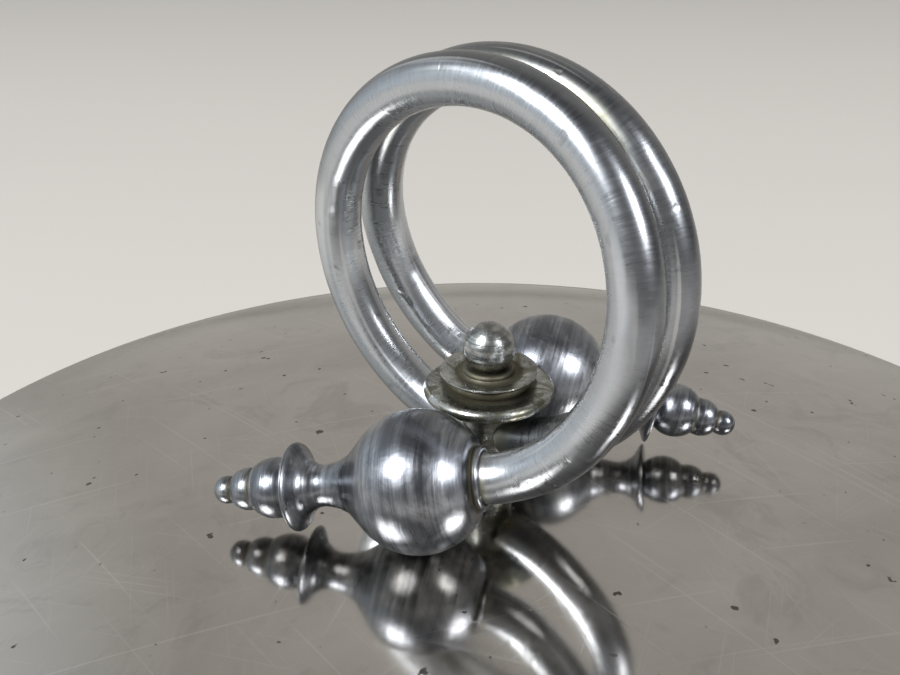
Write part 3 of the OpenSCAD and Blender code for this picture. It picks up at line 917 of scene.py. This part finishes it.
class SUGARBOWL_OT_rings(bpy.types.Operator):
    """Bends the two ring rods, with the small dents and flats of hand work"""

    bl_idname = "sugar_bowl.rings"
    bl_label = "Ring rods"

    def execute(self, context):
        s = sizes(context)
        n = handle_layout(s)
        chance, dents, length_of_rod = np.random.default_rng(21), 26, 0.1
        dent_at, dent_turn = chance.uniform(0, length_of_rod, dents), chance.uniform(0, 2 * pi, dents)
        dent_size = chance.uniform(0.35, 0.9, dents) * MM
        dent_depth, out_of_round, deepest = 0.045 * MM, 0.012 * MM, 0.09 * MM
        # The tenon starts with a flat shoulder: its first points lie a hair past the rod's last one.
        hair = np.array([SAME_POINT, 0, 0])
        tenon = np.linspace(0, 1, 5)[1:, None] * [s.rings.tenon_len, 0, 0]
        path = np.concatenate([n.path, n.path[-1:] + hair, n.path[-1] + tenon + 2 * hair])
        rod_rows = len(n.path)

        def radius(along, a):
            """rod_r less a slow ripple and less small round dents, depth * exp(-(away / size)^2)."""
            leaning = along + 1.5 * MM * np.sin(a)
            uneven = ripple(leaning, seed=3, waves=8, shortest=3 * MM, longest=14 * MM)
            round_rod = 2 * n.rod_r * np.sin((a[..., None] - dent_turn) / 2)
            away = (along[..., None] - dent_at) ** 2 + round_rod**2
            dented = dent_depth * np.exp(-away / dent_size**2).sum(-1)
            r = n.rod_r - np.minimum(out_of_round * (1 + uneven) + dented, deepest)
            r[rod_rows:] = s.rings.tenon_d / 2
            return r

        def grime(grid):
            """Tarnish by nearness to the other rod, to the post and to the ball's lip:
            exp(-gap / RESIDUE). The post counts for more and the lip for less."""
            other = half_turned(n.path)[::3]
            near_rod = np.linalg.norm(grid[:, :, None] - other[None, None], axis=-1).min(-1) - n.rod_r
            over_cone = np.maximum(0, grid[..., 2] - n.cone_z)
            near_post = np.hypot(grid[..., 0], grid[..., 1]) - n.post_r + 3 * over_cone
            on_other_side = np.linalg.norm(grid - n.ball, axis=-1) > 3 * n.ball_r
            near_lip = np.abs((grid - n.ball) @ n.tail - n.lip_at + n.lip_w) + 3 * MM * on_other_side
            gaps = np.minimum(np.minimum(near_rod, near_post * 0.8), near_lip * 3)
            return np.exp(-np.maximum(gaps, 0) / RESIDUE)

        for name, node, turned in (
            ("front_ring_piece", "front_ring_rod", False),
            ("back_ring_piece", "back_ring_rod", True),
        ):
            rod = sweep(name, path, radius, ROD_SIDES, grime)
            if turned:
                rod.data.transform(Matrix.Rotation(pi, 4, "Z"))
            fit_piece(s, rod, "lid", "ring_rod", node)
        return {"FINISHED"}


class SUGARBOWL_OT_finials(bpy.types.Operator):
    """Turns the two ball finials: lip, ball, neck, collar and three beads"""

    bl_idname = "sugar_bowl.finials"
    bl_label = "Ball finials"

    def execute(self, context):
        s = sizes(context)
        n = handle_layout(s)
        spire = s.finials.finial_len - n.ball_r
        neck_r, neck_at = 1.65 * MM, n.ball_r + 0.2 * spire
        collar_r, collar_w, collar_root = 3.6 * MM, 0.3 * MM, 0.35 * MM
        collar_at = n.ball_r + 0.365 * spire
        bead_r = np.array([2.5, 1.75, 1.15]) * MM
        bead_at = np.array([
            n.ball_r + 0.54 * spire,
            n.ball_r + 0.74 * spire,
            s.finials.finial_len - bead_r[2],
        ])
        # The neck's cove: how far it stands out from the neck, and how far along it lies.
        neck_curve = np.array([
            [0.75, -2.5], [0.25, -1.5], [0.05, -0.6], [0, 0], [0.2, 0.6], [0.7, 1.3],
        ]) * MM
        # The groove between two beads: where their spheres meet, or a spindle 0.8 mm in radius.
        apart = np.diff(bead_at)
        meet = (apart**2 + bead_r[:-1] ** 2 - bead_r[1:] ** 2) / (2 * apart)
        groove = np.maximum(0.8 * MM, np.sqrt(np.maximum(0, bead_r[:-1] ** 2 - meet**2)))
        leave = np.degrees(np.arccos(groove / bead_r[:-1]))
        enter = -np.degrees(np.arccos(groove / bead_r[1:]))
        lip, edge = n.lip_at - n.lip_w, 0.2 * MM
        bore_r = n.rod_r + SOCKET_CLEARANCE
        ball_start, ball_end, first_bead_start = degrees(np.arcsin(n.lip_at / n.ball_r)) + 4, 48, -50
        profile = eased(rows(
            [0, lip + s.finials.socket_depth],
            [bore_r, lip + s.finials.socket_depth],
            [bore_r, lip],
            [n.lip_r - edge, lip],
            [n.lip_r, lip + edge],
            [n.lip_r, n.lip_at - edge],
            [n.lip_r - edge, n.lip_at],
            arc((0, 0), n.ball_r, ball_start, ball_end, 60),
            neck_curve + [neck_r, neck_at],
            [collar_r, collar_at],
            [collar_r, collar_at + collar_w],
            [neck_r - collar_root, collar_at + collar_w],
            arc((0, bead_at[0]), bead_r[0], first_bead_start, leave[0], 22),
            arc((0, bead_at[1]), bead_r[1], enter[0], leave[1], 20),
            arc((0, bead_at[2]), bead_r[2], enter[1], 90, 24),
        ), 0.25 * MM, 2)
        profile[-1, 0] = 0
        outline = filled(profile, 0.12 * MM)

        def grooves(a, radius, height):
            """Tool marks 0.012 mm deep round the axis and a slight oval, only where the finial is
            thicker than the rod. The oval turns half round in 2 pi / 900 m along the axis."""
            uneven = ripple(height, seed=12, waves=14, shortest=0.12 * MM, longest=0.9 * MM)
            wobble = np.sin(2 * a + 900 * height)
            depth = 0.006 * MM * (1 + uneven) + 0.008 * MM * (1 + wobble)
            outside = radius > n.rod_r + 0.1 * MM
            return depth * np.clip(radius / MM, 0, 1) * outside, 0 * height

        stand = axes(n.ball, n.bend_axis, n.tail)

        for name, node, turned in (
            ("front_finial_piece", "front_ball_finial", False),
            ("back_finial_piece", "back_ball_finial", True),
        ):
            finial = lathe(name, outline, FINIAL_SIDES, stand, reach=0.22 * MM, cut=grooves)
            if turned:
                finial.data.transform(Matrix.Rotation(pi, 4, "Z"))
            fit_piece(s, finial, "lid", "turned_finial", node)
        return {"FINISHED"}


class SUGARBOWL_OT_centre_finial(bpy.types.Operator):
    """Turns the centre finial: post, cone, thick flange, band, dished flange, bead and knob"""

    bl_idname = "sugar_bowl.centre_finial"
    bl_label = "Centre finial"

    def execute(self, context):
        s = sizes(context)
        n, lid = handle_layout(s), lid_layout(s)
        upper_r, knob_r = s.finials.upper_flange_d / 2, s.finials.knob_d / 2
        band_r, rim_h, bead_r = 0.45 * MM, 0.15 * MM, 0.3 * MM
        band_z = n.flange_z + n.flange_h / 2 + band_r
        band_rise = 0.65 * MM
        upper_z = band_z + band_rise
        waist = 33  # degrees up the knob from its foot, where it stands on the bead
        knob_z = upper_z + bead_r + knob_r * cos(radians(waist))
        screw_r = s.screw.screw_d / 2 + SOCKET_CLEARANCE
        under_tenons = 0.3 * MM
        screw_end = n.inner_end_z - s.rings.tenon_d / 2 - under_tenons
        profile = eased(rows(
            [0, screw_end],
            [screw_r, screw_end],
            [screw_r, lid.top_z],
            [n.post_r, lid.top_z],
            [n.post_r, n.cone_z - (n.cone_r - n.post_r) / 2],
            [n.cone_r, n.cone_z],
            arc((n.flange_r, n.flange_z), n.flange_h / 2, -60, 90, 20),
            arc((upper_r - 2 * band_r, band_z), band_r, -60, 60, 14),
            [upper_r - 2 * rim_h, upper_z - rim_h],
            [upper_r, upper_z],
            [upper_r, upper_z + rim_h],
            [upper_r - 2 * rim_h, upper_z + rim_h],
            [knob_r + bead_r, upper_z - rim_h],
            arc((knob_r - bead_r, upper_z + rim_h), bead_r, -20, 90, 12),
            arc((0, knob_z), knob_r, waist - 90, 90, 48),
        ), 0.2 * MM, 2)
        profile[-1, 0] = 0
        outline = filled(profile, 0.1 * MM)

        def wear(a, radius, height):
            """Tool marks 0.01 mm deep round the axis."""
            uneven = ripple(height, seed=4, waves=12, shortest=0.12 * MM, longest=0.8 * MM)
            return 0.005 * MM * (1 + uneven) * np.clip(radius / MM, 0, 1), 0 * height

        post = lathe("centre_finial_piece", outline, FINIAL_SIDES, cut=wear)
        fit_piece(s, post, "lid", "tarnished_knob", "centre_finial")
        return {"FINISHED"}


class SUGARBOWL_OT_fixings(bpy.types.Operator):
    """Turns the washer, and finishes the screw that holds the handle"""

    bl_idname = "sugar_bowl.fixings"
    bl_label = "Screw and washer"

    def execute(self, context):
        s = sizes(context)
        top = lid_layout(s).washer_top_z
        inner_r, outer_r = s.screw.screw_d / 2 + s.screw.screw_clearance, s.screw.washer_d / 2
        low = top - s.screw.washer_h
        start = [inner_r, (low + top) / 2]
        corners = rows(start, [inner_r, low], [outer_r, low], [outer_r, top], [inner_r, top], start)
        outline = filled(eased(corners, 0.15 * MM), 0.3 * MM)
        washer = lathe("screw_washer_piece", outline, WASHER_SIDES, loop=True)
        fit_piece(s, washer, "lid", "plated_screw", "screw_washer")
        screw_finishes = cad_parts["handle_screw"].data.materials
        screw_finishes.clear()
        screw_finishes.append(finish_of(s, "plated_screw"))
        return {"FINISHED"}


def direction(azimuth, elevation):
    """The way to a place at a turn from the front and a height above level, both in radians:
    (sin a cos e, -cos a cos e, sin e)."""
    return sin(azimuth) * cos(elevation), -cos(azimuth) * cos(elevation), sin(elevation)


class Surroundings:
    """The room's soft light, by direction: a dim room with pale lobes."""

    def __init__(self, world):
        world.use_nodes = True
        self.tree = world.node_tree
        self.direction = self.tree.nodes.new("ShaderNodeTexCoord").outputs["Generated"]

    def lobe(self, place, low, high, colour, under=None):
        """Adds a pale wall around a direction of (azimuth, elevation) in degrees: its share is 0 where
        the cosine to that direction is below low, and 1 above high."""
        dot = self.tree.nodes.new("ShaderNodeVectorMath")
        dot.operation = "DOT_PRODUCT"
        self.tree.links.new(self.direction, dot.inputs[0])
        dot.inputs[1].default_value = direction(*map(radians, place))
        part = self.tree.nodes.new("ShaderNodeMapRange")
        part.interpolation_type = "SMOOTHSTEP"
        self.tree.links.new(dot.outputs["Value"], part.inputs[0])
        part.inputs[1].default_value, part.inputs[2].default_value = low, high
        mix = self.tree.nodes.new("ShaderNodeMix")
        mix.data_type, mix.blend_type = "RGBA", "ADD"
        self.tree.links.new(part.outputs[0], mix.inputs[0])
        mix.inputs[6].default_value = (0, 0, 0, 1)
        if under is not None:
            self.tree.links.new(under, mix.inputs[6])
        mix.inputs[7].default_value = (*colour, 1)
        return mix.outputs[2]

    def done(self, light, dim, strength):
        """Adds the dim room to the lobes and feeds the background."""
        add = self.tree.nodes.new("ShaderNodeMix")
        add.data_type, add.blend_type = "RGBA", "ADD"
        add.inputs[0].default_value = 1.0
        self.tree.links.new(light, add.inputs[6])
        add.inputs[7].default_value = (*dim, 1)
        background = self.tree.nodes["Background"]
        self.tree.links.new(add.outputs[2], background.inputs["Color"])
        background.inputs["Strength"].default_value = strength


class SUGARBOWL_OT_stage(bpy.types.Operator):
    """Lays the pale floor and sets the soft lights and the camera"""

    bl_idname = "sugar_bowl.stage"
    bl_label = "Stage"

    def execute(self, context):
        s = sizes(context)
        g = s.stage
        half = g.floor_size / 2
        line, under_foot = np.linspace(-half, half, 25), 0.02 * MM
        x, y = np.meshgrid(line, line)
        mesh = bpy.data.meshes.new("floor")
        points = np.stack([x, y, np.full_like(x, -under_foot)], -1).reshape(-1, 3)
        index = np.arange(line.size**2).reshape(line.size, line.size)
        faces = np.stack([index[:-1, :-1], index[:-1, 1:], index[1:, 1:], index[1:, :-1]], -1)
        mesh.from_pydata(points.tolist(), [], faces.reshape(-1, 4).tolist())
        floor = bpy.data.objects.new("floor", mesh)
        context.scene.collection.objects.link(floor)
        floor.data.materials.append(finish_of(s, "pale_floor"))

        middle = Vector((0, 0, lid_layout(s).top_z + g.aim_up))
        for name, azimuth, elevation, away, width, height, power, colour in (
            ("main_window", -15, 44, 2.4, 0.95, 1.15, g.key, (0.93, 0.96, 1.0)),
            ("side_window", 93, 36, 2.4, 0.55, 0.80, g.side, (0.94, 0.96, 1.0)),
        ):
            light = bpy.data.lights.new(name, "AREA")
            light.shape, light.size, light.size_y = "RECTANGLE", width, height
            light.energy, light.color = power, colour
            lamp = bpy.data.objects.new(name, light)
            towards = Vector(direction(radians(azimuth), radians(elevation)))
            facing = towards.to_track_quat("Z", "Y").to_matrix().to_4x4()
            lamp.matrix_world = Matrix.Translation(middle + away * towards) @ facing
            context.scene.collection.objects.link(lamp)

        world = bpy.data.worlds.new("room")
        world.use_nodes = True
        room = Surroundings(world)
        # A bluish pale wall to the left, a warm one behind and a faint one to the right.
        light = room.lobe((-60, 12), 0.55, 0.95, (0.66, 0.73, 0.78))
        light = room.lobe((205, 22), 0.3, 0.85, (0.42, 0.405, 0.38), light)
        light = room.lobe((70, 2), 0.3, 0.9, (0.16, 0.16, 0.16), light)
        room.done(light, (0.08, 0.08, 0.08), g.sky)
        context.scene.world = world

        # The camera looks along a line through the middle, from a place moved aside and down.
        back = Vector(direction(g.azimuth, g.elevation))
        right = Vector((cos(g.azimuth), sin(g.azimuth), 0))
        up_dir = back.cross(right)
        right, up_dir = (
            right * cos(g.roll) + up_dir * sin(g.roll),
            up_dir * cos(g.roll) - right * sin(g.roll),
        )
        place = middle + back * g.distance - right * g.shift_right - up_dir * g.shift_up
        camera = bpy.data.cameras.new("camera")
        camera.lens, camera.sensor_width = g.lens, 36
        camera.clip_start, camera.clip_end = MM, 50
        viewer = bpy.data.objects.new("camera", camera)
        turn = Matrix((right, up_dir, back)).transposed().to_4x4()
        viewer.matrix_world = Matrix.Translation(place) @ turn
        context.scene.collection.objects.link(viewer)
        context.scene.camera = viewer
        context.scene.view_settings.view_transform = "Standard"
        return {"FINISHED"}


PIECE_OPERATORS = (
    SUGARBOWL_OT_bowl,
    SUGARBOWL_OT_lid,
    SUGARBOWL_OT_rings,
    SUGARBOWL_OT_finials,
    SUGARBOWL_OT_centre_finial,
    SUGARBOWL_OT_fixings,
    SUGARBOWL_OT_stage,
)


class SUGARBOWL_PT_sidebar(bpy.types.Panel):
    """The operators and the sizes that they read"""

    bl_idname = "SUGARBOWL_PT_sidebar"
    bl_label = "Covered Sugar Bowl"
    bl_space_type = "VIEW_3D"
    bl_region_type = "UI"
    bl_category = "Sugar Bowl"

    def draw(self, context):
        for operator in PIECE_OPERATORS:
            self.layout.operator(operator.bl_idname)
        for group, kind in SIZE_GROUPS.items():
            box = self.layout.box()
            box.label(text=group.capitalize())
            for name in kind.__annotations__:
                box.prop(getattr(context.scene, PREFIX + group), name)


CLASSES = (*SIZE_GROUPS.values(), *PIECE_OPERATORS, SUGARBOWL_PT_sidebar)


def register():
    for kind in CLASSES:
        bpy.utils.register_class(kind)
    for group, kind in SIZE_GROUPS.items():
        setattr(bpy.types.Scene, PREFIX + group, PointerProperty(type=kind))


def unregister():
    for group in SIZE_GROUPS:
        delattr(bpy.types.Scene, PREFIX + group)
    for kind in reversed(CLASSES):
        bpy.utils.unregister_class(kind)


def main():
    register()
    for operator in PIECE_OPERATORS:
        group, name = operator.bl_idname.split(".")
        getattr(getattr(bpy.ops, group), name)()


if __name__ == "__main__":
    main()
